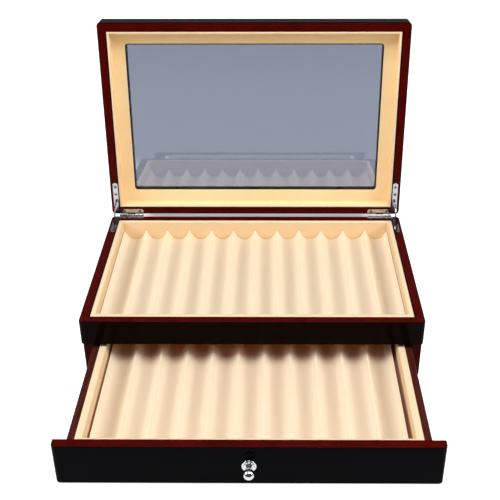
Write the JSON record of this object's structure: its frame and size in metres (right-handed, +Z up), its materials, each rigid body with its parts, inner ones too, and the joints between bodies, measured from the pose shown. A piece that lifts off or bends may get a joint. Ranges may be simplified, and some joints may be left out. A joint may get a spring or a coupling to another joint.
{
  "type": "pen display chest",
  "caption": "Glass-lidded wooden display chest for pens: a grooved top tray under a hinged lid, over a grooved pull-out drawer with a round knob.",
  "frame": {"origin": "middle of the felt underside that the chest rests on", "axes": "+Z up, +X to the right seen from the front, +Y to the back; the drawer pulls out along -Y"},
  "size_m": [0.34, 0.4289, 0.2951],
  "materials": {
    "lacquered_wood": "high-gloss lacquer, dark mahogany",
    "inner_wood": "satin stained",
    "cream_suede": "short-napped suede cloth",
    "black_felt": "felt",
    "hinge_chrome": "polished",
    "knob_chrome": "polished",
    "screw_steel": "plain",
    "window_glass": "clear, faintly grey",
    "dark_bead": "lacquered, near black"
  },
  "bodies": {
    "case": {"case_left_side": "lacquered_wood", "case_right_side": "lacquered_wood", "case_back": "lacquered_wood", "upper_front_rail": "lacquered_wood", "base_panel": "inner_wood", "base_felt": "black_felt", "tray_floor": "inner_wood", "drawer_kickers": "inner_wood", "drawer_stop_pins": "inner_wood", "tray_pen_bed": "cream_suede", "left_case_hinge_leaf": "hinge_chrome", "right_case_hinge_leaf": "hinge_chrome", "left_hinge_pin": "hinge_chrome", "right_hinge_pin": "hinge_chrome", "case_hinge_screws": "hinge_chrome", "tray_liner_front": "cream_suede", "tray_liner_right": "cream_suede", "tray_liner_back": "cream_suede", "tray_liner_left": "cream_suede"},
    "lid": {"lid_left_rail": "lacquered_wood", "lid_right_rail": "lacquered_wood", "lid_front_rail": "lacquered_wood", "lid_back_rail": "lacquered_wood", "lid_top_frame": "lacquered_wood", "lid_liner_panel": "cream_suede", "glass_pane": "window_glass", "glazing_bead": "dark_bead", "left_lid_hinge_leaf": "hinge_chrome", "right_lid_hinge_leaf": "hinge_chrome", "lid_hinge_screws": "hinge_chrome", "lid_liner_front": "cream_suede", "lid_liner_right": "cream_suede", "lid_liner_back": "cream_suede", "lid_liner_left": "cream_suede"},
    "drawer": {"drawer_front": "lacquered_wood", "drawer_left_side": "inner_wood", "drawer_right_side": "inner_wood", "drawer_back": "inner_wood", "drawer_bottom": "inner_wood", "drawer_pen_bed": "cream_suede", "knob_rosette": "knob_chrome", "knob": "knob_chrome", "knob_screw": "screw_steel", "drawer_liner_front": "cream_suede", "drawer_liner_right": "cream_suede", "drawer_liner_back": "cream_suede", "drawer_liner_left": "cream_suede"},
    "left_stay": {"left_stay": "hinge_chrome"},
    "right_stay": {"right_stay": "hinge_chrome"}
  },
  "joints": [
    {"name": "lid_hinge", "type": "hinge", "parent": "case", "child": "lid", "pos_m": [0, 0.113, 0.07195], "axis": [1, 0, 0], "range_deg": [0, 94.8]},
    {"name": "left_stay_turn", "type": "hinge", "parent": "case", "child": "left_stay", "pos_m": [0, 0.113, 0.07195], "axis": [1, 0, 0], "range_deg": [0, 47.4]},
    {"name": "right_stay_turn", "type": "hinge", "parent": "case", "child": "right_stay", "pos_m": [0, 0.113, 0.07195], "axis": [1, 0, 0], "range_deg": [0, 47.4]},
    {"name": "drawer_slide", "type": "slide", "parent": "case", "child": "drawer", "axis": [0, -1, 0], "range_m": [-0.1476, 0.0345]}
  ],
  "couplings": [
    {"joint": "left_stay_turn", "follows": "lid_hinge", "ratio": 0.5},
    {"joint": "right_stay_turn", "follows": "lid_hinge", "ratio": 0.5}
  ]
}
